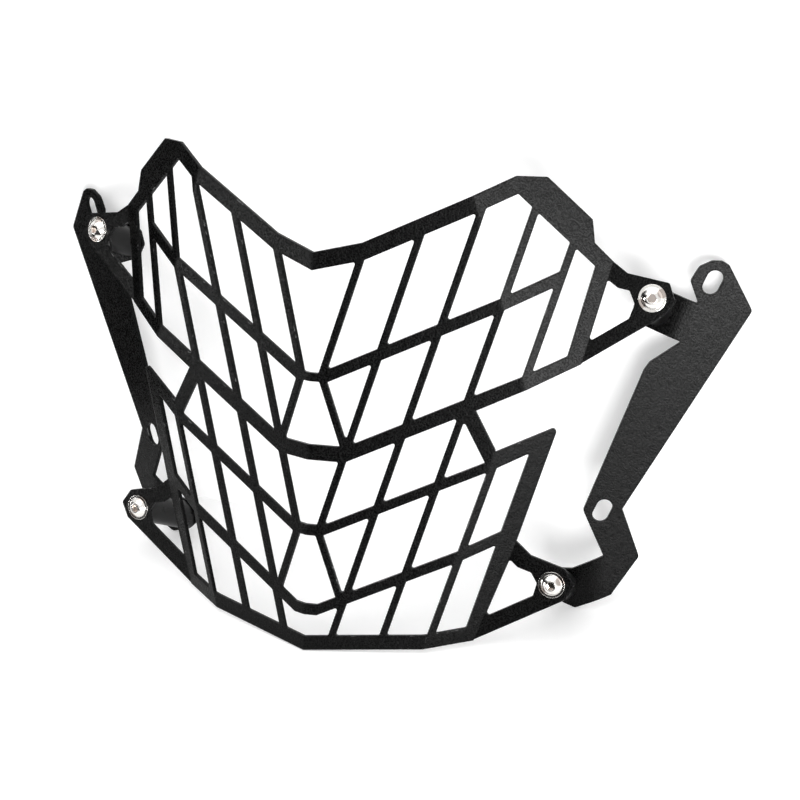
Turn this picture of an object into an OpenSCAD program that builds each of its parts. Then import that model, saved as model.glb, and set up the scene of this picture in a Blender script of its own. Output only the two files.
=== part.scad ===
// Headlight guard: a folded lattice grille on two side brackets with round stand-offs.
// Flat drawings use u across from the middle ridge and v up along it, on the front face.

/* [Sheet] */
// thickness of the grille sheet
sheet_t = 2; // [1.5:0.1:3]
// thickness of the side brackets
bracket_t = 2; // [1.5:0.1:3]
// radius in the corners of the lattice openings
opening_r = 0.8; // [0.3:0.1:1.2]
// radius on the outer corners of the grille
outer_r = 1.5; // [0.5:0.1:2]

/* [Folds] */
// angle of each half behind the middle ridge
ridge_fold = 14.6; // [10:0.2:20]
// fold between the middle and the upper wing
upper_wing_fold = 15; // [10:0.5:20]
// fold between the middle and the lower wing
lower_wing_fold = 15; // [10:0.5:20]
// forward fold of the upper tab
upper_tab_fold = 18; // [12:0.5:24]
// forward fold of the lower tab
lower_tab_fold = 22; // [16:0.5:26]

/* [Lattice bars] */
// lean of the bars away from the ridge
bar_lean = 16.7; // [15.5:0.1:18]
// width of the bars
bar_w = 3.7; // [2.5:0.1:5]
// place at half height of the four main bars
bar_places = [19.5, 44.6, 70.4, 94.6]; // [10:0.1:100]
// place at half height of the short bar beside the ridge
inner_bar_place = -5.4; // [-7:0.1:-4]
// lean of the two short diagonals towards the ridge
diagonal_lean = 19.1; // [17:0.1:21]
// place of the upper diagonal at half height
upper_diagonal_place = 19; // [17.5:0.1:20.5]
// place of the lower diagonal at half height
lower_diagonal_place = -9; // [-10:0.1:-8]

/* [Lattice bands] */
// rise of the bands away from the ridge
band_rise = 26.4; // [25:0.1:27.5]
// level of the four bands where their lines meet the ridge
band_levels = [33.7, -11.4, -47.3, -89.4]; // [-95:0.1:40]
// upright height of the four bands
band_heights = [6.5, 7.9, 5.3, 5.7]; // [4:0.1:9]
// level of the short straight part of each band at the ridge
ridge_levels = [37, -2, -43.2, -86.2]; // [-90:0.1:40]
// upright height of that straight part
ridge_heights = [4.3, 7.9, 5.6, 5.7]; // [4:0.1:9]

/* [Grille outline] */
// height of the top edge at the ridge
ridge_top = 100; // [95:0.5:105]
// height of the bottom edge at the ridge
ridge_bottom = -108.7; // [-112:0.1:-104]
// corner where the top edge turns up
brow_corner = [24.4, 106.3]; // [20:0.1:110]
// inner corner of the wing peak
peak_inner = [98.6, 143]; // [90:0.1:150]
// outer corner of the wing peak
peak_outer = [113.7, 143]; // [105:0.1:150]
// shoulder corner of the wing
shoulder = [136.6, 123.3]; // [115:0.1:145]
// neck corner above the upper tab
neck = [138.2, 112]; // [105:0.1:145]
// lower corner of the strut behind the gap
strut_corner = [84, 26.2]; // [20:0.1:90]
// inner corner of the gap above the lower wing
gap_corner = [95.2, 6]; // [5:0.1:100]
// tip of the lower wing
wing_tip = [125.4, 19.6]; // [18:0.1:130]
// corner of the bottom edge at the lower wing fold
bottom_corner = [62, -102]; // [-106:0.1:66]

/* [Upper tab] */
// upper end of the tab fold
upper_fold_top = [147.8, 103.3]; // [98:0.1:152]
// lower end of the tab fold
upper_fold_bottom = [134.9, 52.4]; // [48:0.1:139]
// screw hole of the upper tab
upper_hole = [168, 86.4]; // [84:0.1:170]
// reach of the tab edge around the screw hole
tab_reach = 10; // [9:0.1:11]

/* [Lower tab] */
// upper end of the tab fold
lower_fold_top = [107.6, -41.8]; // [-46:0.1:112]
// lower end of the tab fold
lower_fold_bottom = [88.2, -97]; // [-101:0.1:92]
// screw hole of the lower tab
lower_hole = [127.5, -62.2]; // [-64:0.1:130]

/* [Borders] */
// width of the top border
top_border = 8.2; // [6:0.1:10]
// width of the wide border on the wing shoulder
shoulder_border = 15.6; // [12:0.1:18]
// width of the upright strip beside the upper tab
side_strip = 7.7; // [6:0.1:9]
// width of the strut and of the lower wing borders
wing_border = 8.6; // [7:0.1:10]
// width of the bottom border
bottom_border = 7.5; // [6:0.1:9]
// width of the tab edges beside their openings
tab_border = 7.4; // [6:0.1:9]
// distance of the tab opening from the middle of the screw
boss_r = 9; // [8:0.1:10]

/* [Brackets] */
// place of the bracket drawing relative to the middle of the ridge
bracket_place = [161.9, 78.8, 13.6]; // [10:0.1:170]
// turn of the bracket plate outwards
bracket_turn = 22.4; // [18:0.1:26]
// forward lean of the bracket plate
bracket_lean = 4; // [0:0.5:8]
// bend of both bracket flanges
flange_bend = 16; // [10:0.5:22]
// width of the rounded zone of the flange bends
bend_zone = 8; // [4:0.5:10]
// distance of that zone's middle inside the bend line
bend_inset = 2.6; // [2:0.1:4]
// width of the bracket flanges
flange_w = 21; // [19:0.1:23]
// foot of the upper bend line on the bracket drawing
upper_bend_foot = [2.9, 48.6]; // [0:0.1:52]
// lean of the upper bend line
upper_bend_lean = 18.7; // [15:0.1:22]
// reach of the upper flange hole from its bend line
upper_flange_reach = 16.8; // [15:0.1:19]
// place across the drawing of the lower bend line
lower_bend_place = -27.2; // [-29:0.1:-25]
// hole of the lower flange on the bracket drawing
lower_flange_hole = [-47.5, -89]; // [-90:0.1:-45]
// width of the fixing slots
slot_w = 8.2; // [7:0.1:9]
// length of the fixing slots
slot_len = 12.8; // [11:0.1:16]
// lean of the fixing slots
slot_lean = 22; // [20:1:38]
// centre of the upper slot on the bracket drawing
upper_slot = [17, 78.7]; // [14:0.1:81]
// centre of the lower slot on the bracket drawing
lower_slot = [-29.2, -44.3]; // [-47:0.1:-27]
// radius on the bracket corners
bracket_r = 2.5; // [1:0.1:3]

/* [Stand-offs and screws] */
// diameter of the round stand-offs
standoff_d = 16; // [14:0.1:18]
// thread diameter of the screws
screw_d = 6; // [5:0.5:6]
// diametral clearance of the screws in their holes
screw_gap = 0.5; // [0.3:0.1:1]
// diameter of the collar under the domed heads
head_d = 13.6; // [12:0.1:15]
// height of the domed heads
head_h = 3.3; // [2.8:0.1:4]
// length of each screw under its head
screw_len = 10; // [8:0.5:11]
// width across the flats of the hexagon heads at the back
hex_af = 10; // [8:0.1:11]
// height of the hexagon heads
hex_h = 4; // [3:0.1:6]

/* [Resting pose] */
// distance from the foot of the ridge to the middle of the footprint
middle_back = 69; // [60:0.1:80]

/* [Hidden] */
$fn = 64;
side = 400;
// depth of the fold axes under the outer face of each fold
fold_depth = 0.3;

// straight lines in the flat drawings, each a point and a direction
function unit(v) = v / norm(v);
function heading(a) = [cos(a), sin(a)];
function edge(p, q) = [p, unit(q - p)];
function moved(l, d) = [l[0] + d * [l[1][1], -l[1][0]], l[1]];
function cross2(a, b) = a[0] * b[1] - a[1] * b[0];
function meet(l, m) = l[0] + l[1] * cross2(m[0] - l[0], m[1]) / cross2(l[1], m[1]);

// placing matrices
function shift(p) = [[1, 0, 0, p[0]], [0, 1, 0, p[1]], [0, 0, 1, p[2]], [0, 0, 0, 1]];
function turn(d, a) = let(k = unit(d), c = cos(a), s = sin(a), e = 1 - cos(a)) [
    [c + k[0] * k[0] * e, k[0] * k[1] * e - k[2] * s, k[0] * k[2] * e + k[1] * s, 0],
    [k[1] * k[0] * e + k[2] * s, c + k[1] * k[1] * e, k[1] * k[2] * e - k[0] * s, 0],
    [k[2] * k[0] * e - k[1] * s, k[2] * k[1] * e + k[0] * s, c + k[2] * k[2] * e, 0],
    [0, 0, 0, 1]];
function about(p, d, a) = shift(p) * turn(d, a) * shift(-p);
function at(m, p) = let(q = m * [p[0], p[1], p[2], 1]) [q[0], q[1], q[2]];

// fold lines of the wings
lean = tan(bar_lean);
rise = tan(band_rise);
fifth_bar_edge = bar_places[3] - bar_w / cos(bar_lean) / 2;
top_edge = edge(brow_corner, peak_inner);
band_3_low = [[0, band_levels[1] - band_heights[1] / 2], heading(band_rise)];
upper_fold = edge([78, 132.5], [108.2, 38.2]);
lower_fold = [[fifth_bar_edge, 0], [sin(bar_lean), cos(bar_lean)]];
upper_fold_start = meet(upper_fold, top_edge);
upper_fold_end = meet(upper_fold, band_3_low);
gap_line = edge(gap_corner, wing_tip);
lower_fold_start = meet(lower_fold, gap_line);
bottom_edge = edge([0, ridge_bottom], bottom_corner);
lower_fold_end = meet(lower_fold, bottom_edge);
upper_tab_line = edge(upper_fold_bottom, upper_fold_top);
lower_tab_line = edge(lower_fold_bottom, lower_fold_top);

// outline of the upper tab around its screw hole
upper_tab_top = [upper_hole + (tab_reach - 1) * heading(80), heading(-10.3)];
upper_tab_neck = meet(upper_tab_top, [upper_fold_top, heading(-36)]);
upper_tab_low = edge(upper_fold_bottom, upper_fold_bottom + heading(33.4));
upper_tab_corner = meet(upper_tab_top, [upper_hole + tab_reach * heading(20), heading(-70)]);
upper_tab_side = meet([upper_hole + tab_reach * heading(20), heading(-70)],
    [upper_hole + tab_reach * heading(-35), heading(-125)]);
upper_tab_heel = meet([upper_hole + tab_reach * heading(-35), heading(-125)], upper_tab_low);

// outline of the lower tab around its screw hole
lower_tab_top = [lower_hole + tab_reach * heading(75), heading(-15.3)];
lower_tab_neck = meet(lower_tab_top, [lower_fold_top, heading(-40)]);
lower_tab_corner = meet(lower_tab_top, [lower_hole + tab_reach * heading(35), heading(-55)]);
lower_tab_side = meet([lower_hole + tab_reach * heading(35), heading(-55)],
    [lower_hole + tab_reach * heading(-28), heading(-118)]);
lower_tab_low = edge(lower_fold_bottom, lower_fold_bottom + heading(30.6));
lower_tab_heel = meet([lower_hole + tab_reach * heading(-28), heading(-118)], lower_tab_low);

grille_outline = [[0, ridge_top], brow_corner, peak_inner, peak_outer, shoulder, neck,
    upper_fold_top, upper_tab_neck, upper_tab_corner, upper_tab_side, upper_tab_heel,
    upper_fold_bottom, meet(band_3_low, edge(strut_corner, gap_corner)), gap_corner, wing_tip,
    lower_fold_top, lower_tab_neck, lower_tab_corner, lower_tab_side, lower_tab_heel,
    lower_fold_bottom, bottom_corner, [0, ridge_bottom]];

// window of the right half, inside its borders
brow_in = moved(edge([0, ridge_top], brow_corner), top_border + 0.4);
top_in = moved(top_edge, top_border);
shoulder_in = moved(edge(peak_outer, shoulder), shoulder_border);
strip_in = moved(edge(upper_fold_top, upper_fold_bottom), side_strip);
band_3_mid = [[0, band_levels[1]], heading(band_rise)];
strut_in = moved(edge(strut_corner, gap_corner), wing_border - 1);
band_4_mid = [[0, band_levels[2]], heading(band_rise)];
wing_in = moved(edge(wing_tip, lower_fold_top), wing_border + 0.4);
corner_in = moved(edge(lower_fold_bottom, bottom_corner), bottom_border);
bottom_in = moved(edge(bottom_corner, [0, ridge_bottom]), bottom_border);
middle_line = [[0, 0], [0, 1]];

grille_window = [meet(middle_line, brow_in), meet(brow_in, top_in), meet(top_in, shoulder_in),
    meet(shoulder_in, strip_in), meet(strip_in, band_3_mid), meet(band_3_mid, strut_in),
    meet(strut_in, band_4_mid), meet(band_4_mid, wing_in), meet(wing_in, corner_in),
    meet(corner_in, bottom_in), meet(bottom_in, middle_line)];

// placing matrices of the panels, the ridge upright
middle_m = about([0, fold_depth, 0], [0, 0, 1], ridge_fold);
wing_m = middle_m * about([upper_fold[0][0], fold_depth, upper_fold[0][1]],
    [-upper_fold[1][0], 0, -upper_fold[1][1]], upper_wing_fold);
low_wing_m = middle_m * about([lower_fold[0][0], fold_depth, lower_fold[0][1]],
    [lower_fold[1][0], 0, lower_fold[1][1]], lower_wing_fold);
upper_tab_m = wing_m * about([upper_fold_bottom[0], sheet_t - fold_depth, upper_fold_bottom[1]],
    [upper_tab_line[1][0], 0, upper_tab_line[1][1]], -upper_tab_fold);
lower_tab_m = low_wing_m * about([lower_fold_bottom[0], sheet_t - fold_depth, lower_fold_bottom[1]],
    [lower_tab_line[1][0], 0, lower_tab_line[1][1]], -lower_tab_fold);

// bracket drawing
upper_bend = [upper_bend_foot, [sin(upper_bend_lean), cos(upper_bend_lean)]];
upper_in = [-cos(upper_bend_lean), sin(upper_bend_lean)];
upper_flange_hole = upper_bend_foot + upper_flange_reach * upper_in
    + (flange_w / 2 - 0.6) * upper_bend[1];
bracket_m = shift(bracket_place) * turn([0, 0, 1], bracket_turn) * turn([1, 0, 0], bracket_lean);
// the bend of a flange is spread over some narrow facets
facets = 4;
lower_bend = [[lower_bend_place, 0], [0, 1]];
function facet_line(l, k) = moved(l, bend_zone * (0.5 - (k - 0.5) / facets) - bend_inset);
function facet_m(l, k) = k == 0 ? bracket_m : facet_m(l, k - 1)
    * about([facet_line(l, k)[0][0], bracket_t / 2, facet_line(l, k)[0][1]],
        [l[1][0], 0, l[1][1]], -flange_bend / facets);
upper_flange_m = facet_m(upper_bend, facets);
lower_flange_m = facet_m(lower_bend, facets);

lower_flange_shape = [[26.5, 22.9], [4.5, 9.9], [-4, 8.8], [-9.3, 3.8], [-9.3, -3],
    [-4, -8], [2, -9.9], [7.7, -11.6], [26.5, -1.6]];

// resting pose: the foot of the ridge and the lower flanges touch the floor
ridge_foot = [0, sheet_t / cos(ridge_fold), ridge_bottom];
flange_foot_2d = lower_flange_hole + lower_flange_shape[7];
flange_foot = at(lower_flange_m, [flange_foot_2d[0], bracket_t, flange_foot_2d[1]]);
rest_lean = atan2(flange_foot[2] - ridge_foot[2], flange_foot[1] - ridge_foot[1]);
rest_turn = turn([1, 0, 0], -rest_lean);
rest_m = shift([0, -middle_back, 0] - at(rest_turn, ridge_foot)) * rest_turn;

// a flat shape stood up, its front face on the plane y = 0
module upright(t) {
    translate([0, t, 0]) rotate([90, 0, 0]) linear_extrude(t) children();
}

// an endless strip of the given width along a line
module strip(l, w) {
    a = l[0] - side * l[1];
    b = l[0] + side * l[1];
    n = [l[1][1], -l[1][0]] * w / 2;
    polygon([a + n, b + n, b - n, a - n]);
}

// the side of a line that lies to the right of its direction
module right_of(l) {
    a = l[0] - side * l[1];
    b = l[0] + side * l[1];
    n = [l[1][1], -l[1][0]] * side;
    polygon([a, b, b + n, a + n]);
}

// everything between two heights of the drawing
module between(low, high) {
    translate([-side, low]) square([2 * side, high - low]);
}

// one band: level beside the ridge, then rising outwards
module band(i) {
    top = ridge_levels[i] + ridge_heights[i] / 2;
    low = ridge_levels[i] - ridge_heights[i] / 2;
    line_top = band_levels[i] + band_heights[i] / 2;
    line_low = band_levels[i] - band_heights[i] / 2;
    polygon([[0, top], [(top - line_top) / rise, top], [side, line_top + side * rise],
        [side, line_low + side * rise], [(low - line_low) / rise, low], [0, low]]);
}

// one leaning bar between two heights
module bar(place, low, high) {
    intersection() {
        strip([[place, 0], [sin(bar_lean), cos(bar_lean)]], bar_w);
        between(low, high);
    }
}

// level of a band's middle line where it crosses a bar
function crossing(i, place) = (band_levels[i] + rise * place) / (1 - rise * lean);

module diagonal(place, low, high) {
    intersection() {
        strip([[place, 0], [-sin(diagonal_lean), cos(diagonal_lean)]], bar_w);
        between(low, high);
    }
}

// every bar and band of the right half, the first band ending at the last bar
module lattice_bars() {
    for (i = [1:3]) band(i);
    difference() {
        band(0);
        right_of([[bar_places[3], 0], [sin(bar_lean), cos(bar_lean)]]);
    }
    bar(inner_bar_place, ridge_levels[0], side);
    bar(bar_places[0], ridge_levels[2], side);
    bar(bar_places[1], -side, side);
    bar(bar_places[2], -side, side);
    bar(bar_places[3], crossing(1, bar_places[3]), side);
    bar(bar_places[3], -side, crossing(2, bar_places[3]));
    diagonal(upper_diagonal_place, ridge_levels[1], ridge_levels[0]);
    diagonal(lower_diagonal_place, ridge_levels[3] + 4, ridge_levels[2]);
}

// the openings of the right half before their corners are rounded
module half_openings() {
    difference() {
        polygon(grille_window);
        lattice_bars();
    }
}

// opening of a tab, coming to a blunt corner beside its screw
module tab_opening(fold, neck_edge, top, low, corner, above, below) {
    polygon([meet(fold, neck_edge), meet(neck_edge, top), meet(top, [corner, heading(above)]),
        corner, meet([corner, heading(below)], low), meet(low, fold)]);
}

module upper_tab_opening() {
    tab_opening(moved(upper_tab_line, 0.3), moved([upper_fold_top, heading(-36)], tab_border + 1),
        moved(upper_tab_top, tab_border + 0.6), moved(upper_tab_low, -tab_border),
        upper_hole + boss_r * heading(202), -66, -109);
}

module lower_tab_opening() {
    tab_opening(moved(lower_tab_line, 1), moved([lower_fold_top, heading(-40)], tab_border + 1.8),
        moved(lower_tab_top, tab_border + 0.8), moved(lower_tab_low, -tab_border - 1),
        lower_hole + (boss_r - 1.3) * heading(182), -58, -103);
}

// flat pattern of the right half
module half_pattern() {
    difference() {
        offset(r = outer_r, $fn = 16) offset(r = -outer_r) union() {
            polygon(grille_outline);
            translate([-10, ridge_bottom]) square([10, ridge_top - ridge_bottom]);
        }
        offset(r = opening_r, $fn = 8) offset(r = -opening_r) union() {
            half_openings();
            mirror([1, 0]) half_openings();
        }
        offset(r = 1.1, $fn = 16) offset(r = -1.1) {
            upper_tab_opening();
            lower_tab_opening();
        }
        translate(upper_hole) circle(d = screw_d + screw_gap);
        translate(lower_hole) circle(d = screw_d + screw_gap);
    }
}

module middle_panel() {
    intersection() {
        half_pattern();
        translate([0, -side]) square([side, 2 * side]);
        union() {
            difference() {
                between(30, side);
                right_of([upper_fold[0], -upper_fold[1]]) ;
            }
            difference() {
                between(-side, 30);
                right_of(lower_fold);
            }
        }
    }
}

module wing_panel() {
    intersection() {
        half_pattern();
        between(30, side);
        right_of([upper_fold[0], -upper_fold[1]]);
        difference() {
            between(-side, side);
            right_of(upper_tab_line);
        }
    }
}

module low_wing_panel() {
    intersection() {
        half_pattern();
        between(-side, 30);
        right_of(lower_fold);
        difference() {
            between(-side, side);
            intersection() {
                right_of(lower_tab_line);
                between(-side, lower_fold_top[1]);
            }
        }
    }
}

module upper_tab_panel() {
    intersection() {
        half_pattern();
        between(30, side);
        right_of(upper_tab_line);
    }
}

module lower_tab_panel() {
    intersection() {
        half_pattern();
        right_of(lower_tab_line);
        between(-side, lower_fold_top[1]);
    }
}

module half_grille() {
    multmatrix(middle_m) upright(sheet_t) middle_panel();
    multmatrix(wing_m) upright(sheet_t) wing_panel();
    multmatrix(low_wing_m) upright(sheet_t) low_wing_panel();
    multmatrix(upper_tab_m) upright(sheet_t) upper_tab_panel();
    multmatrix(lower_tab_m) upright(sheet_t) lower_tab_panel();
}

module guard_grille() {
    color([0.09, 0.09, 0.1]) multmatrix(rest_m) union() {
        half_grille();
        mirror([1, 0, 0]) half_grille();
    }
}

// flat flange with a chamfered end around its hole
module flange(hole, inward, reach) {
    up = [-inward[1], inward[0]];
    c = 6.5;
    h = flange_w / 2;
    polygon([hole - reach * inward + h * up, hole + (h - c) * inward + h * up,
        hole + h * inward + (h - c) * up, hole + h * inward - (h - c) * up,
        hole + (h - c) * inward - h * up, hole - reach * inward - h * up]);
}

module slot(centre) {
    translate(centre) rotate(-slot_lean) {
        square([slot_w, slot_len - slot_w], center = true);
        for (s = [-1, 1]) translate([0, s * (slot_len - slot_w) / 2]) circle(d = slot_w);
    }
}

// flat pattern of a bracket
module bracket_pattern() {
    difference() {
        offset(r = bracket_r, $fn = 32) offset(r = -bracket_r) union() {
            polygon([[8.5, 84], [10, 86.5], [16, 89.6], [21, 89.6], [24.5, 87.6], [37.5, 65.1],
                [-19.1, -42.9], [-8.8, -68.8], [-21.3, -90.1], [lower_bend_place, -93.3],
                [lower_bend_place, -69.1], [-39, -44.5], [-13.5, 32], [-11, 36.2], [2.9, 46.8],
                [3.6, 48.5], [10.3, 68.5], [6, 79]]);
            flange(upper_flange_hole, upper_in, upper_flange_reach + 3);
            translate(lower_flange_hole) polygon(lower_flange_shape);
        }
        slot(upper_slot);
        slot(lower_slot);
        translate(upper_flange_hole) circle(d = screw_d + screw_gap);
        translate(lower_flange_hole) circle(d = screw_d + screw_gap);
    }
}

// where the upper flange may bend, and where the lower one may
module upper_bend_zone() {
    intersection() {
        right_of([upper_bend_foot + flange_w * upper_bend[1], -upper_in]);
        between(upper_bend_foot[1] - 1, 80);
        translate([-side + 25, 0]) square([side, side]);
    }
}

module lower_bend_zone() {
    translate([lower_bend_place - 60, -130]) square([60 + bend_zone, 61.4]);
}

// everything beyond facet line k, away from the plate
module beyond(l, k) {
    right_of([facet_line(l, k)[0], -l[1]]);
}

module flange_facets(l) {
    for (k = [1:facets]) {
        multmatrix(facet_m(l, k)) upright(bracket_t) intersection() {
            bracket_pattern();
            children();
            difference() {
                beyond(l, k);
                if (k < facets) beyond(l, k + 1);
            }
        }
    }
}

module half_bracket() {
    multmatrix(bracket_m) upright(bracket_t) difference() {
        bracket_pattern();
        intersection() {
            upper_bend_zone();
            beyond(upper_bend, 1);
        }
        intersection() {
            lower_bend_zone();
            beyond(lower_bend, 1);
        }
    }
    flange_facets(upper_bend) upper_bend_zone();
    flange_facets(lower_bend) lower_bend_zone();
}

module right_bracket() {
    color([0.13, 0.13, 0.14]) multmatrix(rest_m) half_bracket();
}

module left_bracket() {
    mirror([1, 0, 0]) right_bracket();
}

// lay a shape drawn along +z so that its axis runs from one point to another
module along(a, b) {
    d = b - a;
    translate(a) rotate([0, acos(d[2] / norm(d)), atan2(d[1], d[0])]) children();
}

// threaded hole from a seat into a stand-off, square to the seat
module bore(m, hole, seat, way) {
    multmatrix(m) translate([hole[0], seat - way * 2, hole[1]]) rotate([-90 * way, 0, 0])
        cylinder(h = screw_len + 1, d = screw_d + screw_gap);
}

// round stand-off trimmed square to the tab and to the flange
module standoff(tab_m, tab_hole, flange_m, flange_hole) {
    a = at(tab_m, [tab_hole[0], sheet_t, tab_hole[1]]);
    b = at(flange_m, [flange_hole[0], 0, flange_hole[1]]);
    d = unit(b - a);
    difference() {
        along(a - 20 * d, b + 20 * d) cylinder(h = norm(b - a) + 40, d = standoff_d);
        multmatrix(tab_m) translate([tab_hole[0] - 50, sheet_t - 100, tab_hole[1] - 50]) cube(100);
        multmatrix(flange_m) translate([flange_hole[0] - 50, 0, flange_hole[1] - 50]) cube(100);
        bore(tab_m, tab_hole, sheet_t, 1);
        bore(flange_m, flange_hole, 0, -1);
    }
}

module upper_right_standoff() {
    color([0.05, 0.05, 0.05]) multmatrix(rest_m)
        standoff(upper_tab_m, upper_hole, upper_flange_m, upper_flange_hole);
}

module lower_right_standoff() {
    color([0.05, 0.05, 0.05]) multmatrix(rest_m)
        standoff(lower_tab_m, lower_hole, lower_flange_m, lower_flange_hole);
}

module upper_left_standoff() {
    mirror([1, 0, 0]) upper_right_standoff();
}

module lower_left_standoff() {
    mirror([1, 0, 0]) lower_right_standoff();
}

// domed screw with a collar and a hexagon socket, seat at z = 0, head upwards
module domed_screw() {
    collar_h = 0.9;
    dome_r = (pow(head_d / 2 - 1.3, 2) + pow(head_h - collar_h + 0.8, 2)) / (2 * (head_h - collar_h + 0.8));
    difference() {
        union() {
            cylinder(h = collar_h, d = head_d);
            intersection() {
                translate([0, 0, head_h - dome_r + 0.6]) sphere(dome_r);
                cylinder(h = head_h, d = head_d - 2.6);
            }
        }
        translate([0, 0, head_h - 2]) cylinder(h = 3, d = screw_d * 0.77, $fn = 6);
    }
    translate([0, 0, -screw_len]) cylinder(h = screw_len + 0.1, d = screw_d);
}

// hexagon bolt with a collar, seat at z = 0, head upwards
module hexagon_bolt() {
    cylinder(h = 1, d = head_d - 0.6);
    cylinder(h = hex_h, d = hex_af / cos(30), $fn = 6);
    translate([0, 0, -screw_len]) cylinder(h = screw_len + 0.1, d = screw_d);
}

module front_screw(m, hole) {
    color([0.75, 0.76, 0.78]) multmatrix(rest_m * m)
        translate([hole[0], 0, hole[1]]) rotate([90, 0, 0]) domed_screw();
}

module back_bolt(m, hole) {
    color([0.08, 0.08, 0.08]) multmatrix(rest_m * m)
        translate([hole[0], bracket_t, hole[1]]) rotate([-90, 0, 0]) hexagon_bolt();
}

module upper_right_screw() front_screw(upper_tab_m, upper_hole);
module lower_right_screw() front_screw(lower_tab_m, lower_hole);
module upper_left_screw() mirror([1, 0, 0]) upper_right_screw();
module lower_left_screw() mirror([1, 0, 0]) lower_right_screw();
module upper_right_bolt() back_bolt(upper_flange_m, upper_flange_hole);
module lower_right_bolt() back_bolt(lower_flange_m, lower_flange_hole);
module upper_left_bolt() mirror([1, 0, 0]) upper_right_bolt();
module lower_left_bolt() mirror([1, 0, 0]) lower_right_bolt();

guard_grille();
right_bracket();
left_bracket();
upper_right_standoff();
lower_right_standoff();
upper_left_standoff();
lower_left_standoff();
upper_right_screw();
lower_right_screw();
upper_left_screw();
lower_left_screw();
upper_right_bolt();
lower_right_bolt();
upper_left_bolt();
lower_left_bolt();
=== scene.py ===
import math

import bpy
from mathutils import Matrix, Vector

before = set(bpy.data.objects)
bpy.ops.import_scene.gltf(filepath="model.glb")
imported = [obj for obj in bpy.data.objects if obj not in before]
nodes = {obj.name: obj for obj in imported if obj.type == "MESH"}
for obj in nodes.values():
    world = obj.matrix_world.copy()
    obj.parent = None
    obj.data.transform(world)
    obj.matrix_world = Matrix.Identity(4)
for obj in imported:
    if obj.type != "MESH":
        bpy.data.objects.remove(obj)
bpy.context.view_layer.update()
scene = bpy.context.scene

# Places of the colour sockets on a mix node: its two inputs and its result
mix_a, mix_b, mix_result = 6, 7, 2


# Small helpers for shader graphs
class Graph:
    def __init__(self, tree):
        self.tree = tree

    def node(self, kind, **values):
        made = self.tree.nodes.new(kind)
        for key, value in values.items():
            if hasattr(made, key):
                setattr(made, key, value)
            else:
                made.inputs[key.replace("_", " ")].default_value = value
        return made

    def link(self, a, b):
        self.tree.links.new(a, b)

    def ramp(self, source, stops):
        made = self.tree.nodes.new("ShaderNodeValToRGB")
        ramp = made.color_ramp
        for element, (place, value) in zip(ramp.elements, stops):
            element.position = place
            element.color = (value, value, value, 1) if isinstance(value, float) else value
        self.link(source, made.inputs["Fac"])
        return made.outputs["Color"]

    def math(self, operation, a, b):
        made = self.tree.nodes.new("ShaderNodeMath")
        made.operation = operation
        for socket, value in zip(made.inputs, (a, b)):
            if isinstance(value, float):
                socket.default_value = value
            else:
                self.link(value, socket)
        return made.outputs[0]

    def mix(self, share, below, above):
        made = self.node("ShaderNodeMix", data_type="RGBA")
        self.link(share, made.inputs[0])
        self.link(below, made.inputs[mix_a])
        made.inputs[mix_b].default_value = (*above, 1)
        return made.outputs[mix_result]


def material(name):
    made = bpy.data.materials.new(name)
    made.use_nodes = True
    made.node_tree.nodes.clear()
    graph = Graph(made.node_tree)
    shader = graph.node("ShaderNodeBsdfPrincipled")
    out = graph.node("ShaderNodeOutputMaterial")
    graph.link(shader.outputs[0], out.inputs["Surface"])
    return made, graph, shader, out


# Tones of the black coat and of the metal under it, and the range of its roughness
coat_dark, coat_light, bare_tone = 0.0009, 0.0022, 0.26
coat_smooth, coat_rough = 0.12, 0.40
fleck_share, wear_share = 0.03, 0.8
wear_radius = 0.0009
pebble_depth, wave_depth = 0.00017, 0.0005


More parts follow.
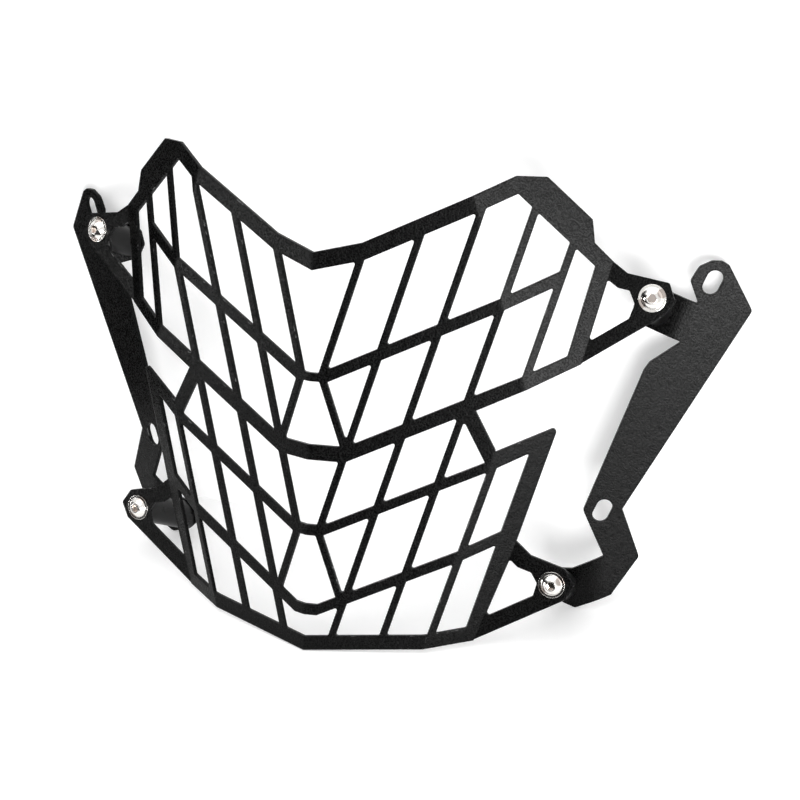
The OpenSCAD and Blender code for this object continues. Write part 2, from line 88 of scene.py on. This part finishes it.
# Powder coat: a fine pebbled skin, uneven in tone and gloss, with small worn spots along its edges
def powder_coat(name, seed):
    made, g, shader, _ = material(name)
    bare = (bare_tone, bare_tone, bare_tone)
    moved = g.node("ShaderNodeMapping")
    moved.inputs["Location"].default_value = (seed, seed * 0.7, -seed)
    g.link(g.node("ShaderNodeTexCoord").outputs["Object"], moved.inputs["Vector"])
    pebble = g.node("ShaderNodeTexNoise", Scale=1150.0, Detail=2.0, Roughness=0.6)
    wave = g.node("ShaderNodeTexNoise", Scale=260.0, Detail=2.0, Roughness=0.5)
    cloud = g.node("ShaderNodeTexNoise", Scale=22.0, Detail=4.0, Roughness=0.55)
    speck = g.node("ShaderNodeTexVoronoi", Scale=520.0)
    for pattern in (pebble, wave, cloud, speck):
        g.link(moved.outputs[0], pattern.inputs["Vector"])

    # Tone, with pale flecks
    grain = g.ramp(pebble.outputs[0], [(0.3, coat_dark), (0.72, coat_light)])
    fleck = g.ramp(speck.outputs["Distance"], [(0.0, 1.0), (0.16, 0.0)])
    flecked = g.mix(g.math("MULTIPLY", fleck, fleck_share), grain, bare)

    # Worn edges, found where the rounded normal turns from the true one
    rounded = g.node("ShaderNodeBevel", samples=6, Radius=wear_radius)
    turn = g.node("ShaderNodeVectorMath", operation="DOT_PRODUCT")
    g.link(rounded.outputs[0], turn.inputs[0])
    g.link(g.node("ShaderNodeNewGeometry").outputs["True Normal"], turn.inputs[1])
    worn = g.ramp(turn.outputs["Value"], [(0.80, 1.0), (0.985, 0.0)])
    patches = g.ramp(cloud.outputs[0], [(0.54, 0.0), (0.62, 1.0)])
    spots = g.ramp(wave.outputs[0], [(0.56, 0.0), (0.64, 1.0)])
    worn_spots = g.math("MULTIPLY", worn, g.math("MULTIPLY", patches, spots))
    coat = g.mix(g.math("MULTIPLY", worn_spots, wear_share), flecked, bare)
    g.link(coat, shader.inputs["Base Color"])

    # Gloss
    gloss = g.ramp(pebble.outputs[0], [(0.38, coat_smooth), (0.63, coat_rough)])
    g.link(gloss, shader.inputs["Roughness"])
    shader.inputs["Specular IOR Level"].default_value = 0.08

    # Relief
    fine = g.node("ShaderNodeBump", Strength=1.0, Distance=pebble_depth)
    wide = g.node("ShaderNodeBump", Strength=0.22, Distance=wave_depth)
    g.link(pebble.outputs[0], fine.inputs["Height"])
    g.link(wave.outputs[0], wide.inputs["Height"])
    g.link(rounded.outputs[0], wide.inputs["Normal"])
    g.link(wide.outputs[0], fine.inputs["Normal"])
    g.link(fine.outputs[0], shader.inputs["Normal"])
    return made


# Smooth moulded rubber with a faint bloom
def rubber(name):
    made, g, shader, _ = material(name)
    place = g.node("ShaderNodeTexCoord").outputs["Object"]
    cloud = g.node("ShaderNodeTexNoise", Scale=60.0, Detail=5.0, Roughness=0.6)
    fine = g.node("ShaderNodeTexNoise", Scale=1600.0, Detail=2.0, Roughness=0.5)
    for pattern in (cloud, fine):
        g.link(place, pattern.inputs["Vector"])
    g.link(g.ramp(cloud.outputs[0], [(0.3, 0.002), (0.75, 0.006)]), shader.inputs["Base Color"])
    g.link(g.ramp(cloud.outputs[0], [(0.3, 0.26), (0.7, 0.38)]), shader.inputs["Roughness"])
    shader.inputs["Specular IOR Level"].default_value = 0.16
    bump = g.node("ShaderNodeBump", Strength=0.12, Distance=0.0001)
    g.link(fine.outputs[0], bump.inputs["Height"])
    g.link(bump.outputs[0], shader.inputs["Normal"])
    return made


# Sizes on the screws: turned rings for each metre of radius, and the radius where the painted shade in the
# socket ends
rings_per_metre = 5200.0
socket_radius, socket_blur = 0.0021, 0.0004
bevel_radius = 0.0003


# Bright or blackened steel with turned rings round the screw's own axis and painted shade in its socket
def turned_steel(name, centre, axis, tone, rough, metal):
    made, g, shader, _ = material(name)
    place = g.node("ShaderNodeTexCoord").outputs["Object"]
    offset = g.node("ShaderNodeVectorMath", operation="SUBTRACT")
    g.link(place, offset.inputs[0])
    offset.inputs[1].default_value = centre
    across = g.node("ShaderNodeVectorMath", operation="CROSS_PRODUCT")
    g.link(offset.outputs[0], across.inputs[0])
    across.inputs[1].default_value = axis
    radius = g.node("ShaderNodeVectorMath", operation="LENGTH")
    g.link(across.outputs[0], radius.inputs[0])
    radius = radius.outputs["Value"]
    rings = g.node("ShaderNodeTexNoise", noise_dimensions="1D", Scale=1.0, Detail=3.0, Roughness=0.7)
    g.link(g.math("MULTIPLY", radius, rings_per_metre), rings.inputs["W"])
    stain = g.node("ShaderNodeTexNoise", Scale=420.0, Detail=4.0, Roughness=0.6)
    g.link(place, stain.inputs["Vector"])

    # Tone, with painted shade in the socket: the socket is brown and darker than the face
    red, green, blue = tone
    stained = (red * 0.88, green * 0.88, blue * 0.88, 1)
    face = g.ramp(stain.outputs[0], [(0.28, stained), (0.6, (*tone, 1))])
    in_centimetres = g.math("MULTIPLY", radius, 100.0)
    socket_shade_end = socket_radius * 100
    # The socket mask paints the shade of the recess into the base colour
    socket = g.ramp(in_centimetres, [(socket_shade_end, 0.62), (socket_shade_end + socket_blur * 100, 0.0)])
    g.link(g.mix(socket, face, (red * 0.34, green * 0.26, blue * 0.22)), shader.inputs["Base Color"])

    # Gloss and relief
    low, high = rough
    g.link(g.ramp(rings.outputs[0], [(0.3, low), (0.7, high)]), shader.inputs["Roughness"])
    shader.inputs["Metallic"].default_value = metal
    rounded = g.node("ShaderNodeBevel", samples=6, Radius=bevel_radius)
    bump = g.node("ShaderNodeBump", Strength=0.10, Distance=0.00003)
    g.link(rings.outputs[0], bump.inputs["Height"])
    g.link(rounded.outputs[0], bump.inputs["Normal"])
    g.link(bump.outputs[0], shader.inputs["Normal"])
    return made


def dress(name, made):
    mesh = nodes[name].data
    mesh.materials.clear()
    mesh.materials.append(made)
    for face in mesh.polygons:
        face.material_index = 0


# The main direction of a fastener's vertices gives its axis
def centre_and_axis(name):
    points = [vertex.co for vertex in nodes[name].data.vertices]
    middle = sum(points, Vector()) / len(points)
    spread = Matrix(((0, 0, 0),) * 3)
    for point in points:
        reach = point - middle
        for i in range(3):
            for j in range(3):
                spread[i][j] += reach[i] * reach[j]
    axis = Vector((0.2, 1, 0.3))
    for _ in range(60):
        axis = (spread @ axis).normalized()
    return middle, axis


# Each fastener's tone, range of roughness and share of metal
bright_steel = ((0.84, 0.82, 0.79), (0.09, 0.16), 1.0)
black_steel = ((0.03, 0.03, 0.032), (0.34, 0.46), 0.6)

dress("guard_grille", powder_coat("grille_powder_coat", 0.0))
dress("right_bracket", powder_coat("right_bracket_powder_coat", 0.31))
dress("left_bracket", powder_coat("left_bracket_powder_coat", 0.67))
standoff_rubber = rubber("standoff_rubber")
for name in nodes:
    if name.endswith("standoff"):
        dress(name, standoff_rubber)
    if name.endswith("screw"):
        dress(name, turned_steel(name + "_steel", *centre_and_axis(name), *bright_steel))
    if name.endswith("bolt"):
        dress(name, turned_steel(name + "_steel", *centre_and_axis(name), *black_steel))


# Pale stage material, near white to the camera and to what mirrors it, that keeps the shadow
stage_tone, stage_glow = 0.78, 0.33


def pale(name, one_sided):
    made, g, shader, out = material(name)
    shader.inputs["Base Color"].default_value = (stage_tone, stage_tone, stage_tone, 1)
    shader.inputs["Roughness"].default_value = 0.9
    shader.inputs["Specular IOR Level"].default_value = 0.1
    path = g.node("ShaderNodeLightPath")
    seen = g.math("MAXIMUM", path.outputs["Is Camera Ray"], path.outputs["Is Glossy Ray"])
    seen = g.math("MAXIMUM", seen, path.outputs["Is Transmission Ray"])
    glow = g.node("ShaderNodeEmission", Color=(1, 1, 1, 1))
    g.link(g.math("MULTIPLY", seen, stage_glow), glow.inputs["Strength"])
    both = g.node("ShaderNodeAddShader")
    g.link(shader.outputs[0], both.inputs[0])
    g.link(glow.outputs[0], both.inputs[1])
    g.link(both.outputs[0], out.inputs["Surface"])
    if one_sided:
        side = g.node("ShaderNodeMixShader")
        g.link(g.node("ShaderNodeNewGeometry").outputs["Backfacing"], side.inputs[0])
        g.link(both.outputs[0], side.inputs[1])
        g.link(g.node("ShaderNodeBsdfTransparent").outputs[0], side.inputs[2])
        g.link(side.outputs[0], out.inputs["Surface"])
    return made


bpy.ops.mesh.primitive_plane_add(size=1, location=(0.15, 0.08, 0))
floor = bpy.context.object
floor.name = "floor"
floor.scale = (0.94, 0.66, 1)
floor.data.materials.append(pale("floor_white", False))

# The pale wall that the two brackets lean on, open to a look from behind
foot, lean, high = 0.0415, 0.2, 0.5
left_end, right_end = -0.3, 0.6
back = foot + lean * high
wall_mesh = bpy.data.meshes.new("wall")
wall_corners = [(left_end, foot, 0), (right_end, foot, 0), (right_end, back, high), (left_end, back, high)]
wall_mesh.from_pydata(wall_corners, [], [(0, 1, 2, 3)])
wall = bpy.data.objects.new("wall", wall_mesh)
scene.collection.objects.link(wall)
wall.data.materials.append(pale("wall_white", True))

# World: white to the camera; a soft room with a dim side, low in front on the left, to the rest
dim_side = (-0.60, -0.62, -0.50)
room_strength = 0.48
world = bpy.data.worlds.new("studio")
world.use_nodes = True
scene.world = world
world.node_tree.nodes.clear()
w = Graph(world.node_tree)
path = w.node("ShaderNodeLightPath")
toward = w.node("ShaderNodeVectorMath", operation="DOT_PRODUCT")
w.link(w.node("ShaderNodeTexCoord").outputs["Generated"], toward.inputs[0])
toward.inputs[1].default_value = dim_side
dim = w.ramp(toward.outputs["Value"], [(0.33, 1.0), (0.47, 0.03)])
room = w.node("ShaderNodeBackground", Strength=room_strength)
mirrored = w.node("ShaderNodeBackground", Strength=1.0)
w.link(dim, room.inputs["Color"])
w.link(dim, mirrored.inputs["Color"])
white = w.node("ShaderNodeBackground", Color=(1, 1, 1, 1), Strength=1.0)
clear = w.math("MAXIMUM", path.outputs["Is Glossy Ray"], path.outputs["Is Transmission Ray"])
inner = w.node("ShaderNodeMixShader")
w.link(clear, inner.inputs[0])
w.link(room.outputs[0], inner.inputs[1])
w.link(mirrored.outputs[0], inner.inputs[2])
outer = w.node("ShaderNodeMixShader")
w.link(path.outputs["Is Camera Ray"], outer.inputs[0])
w.link(inner.outputs[0], outer.inputs[1])
w.link(white.outputs[0], outer.inputs[2])
w.link(outer.outputs[0], w.node("ShaderNodeOutputWorld").inputs["Surface"])


def softbox(name, place, target, width, height, power):
    data = bpy.data.lights.new(name, "AREA")
    data.shape = "RECTANGLE"
    data.size = width
    data.size_y = height
    data.energy = power
    lamp = bpy.data.objects.new(name, data)
    lamp.location = place
    lamp.rotation_euler = (Vector(target) - Vector(place)).to_track_quat("-Z", "Y").to_euler()
    scene.collection.objects.link(lamp)


softbox("overhead", (-0.1, -0.25, 1.8), (0, 0, 0.1), 2.2, 2.2, 24)
softbox("right_front", (1.27, -1.90, 0.34), (0, 0, 0.12), 1.2, 0.95, 60)
softbox("left_strip", (-1.53, -0.95, 0.2), (0, 0, 0.1), 0.28, 0.5, 5.4)

# Camera at the photograph's viewing angle
camera = bpy.data.objects.new("camera", bpy.data.cameras.new("camera"))
scene.collection.objects.link(camera)
camera.location = (0.43373, -0.77313, 0.62973)
camera.rotation_euler = (math.radians(59.2934), math.radians(5.1486), math.radians(24.2544))
camera.data.sensor_width = 36
camera.data.lens = 89.558
camera.data.clip_start = 0.01
scene.camera = camera
scene.view_settings.view_transform = "Standard"
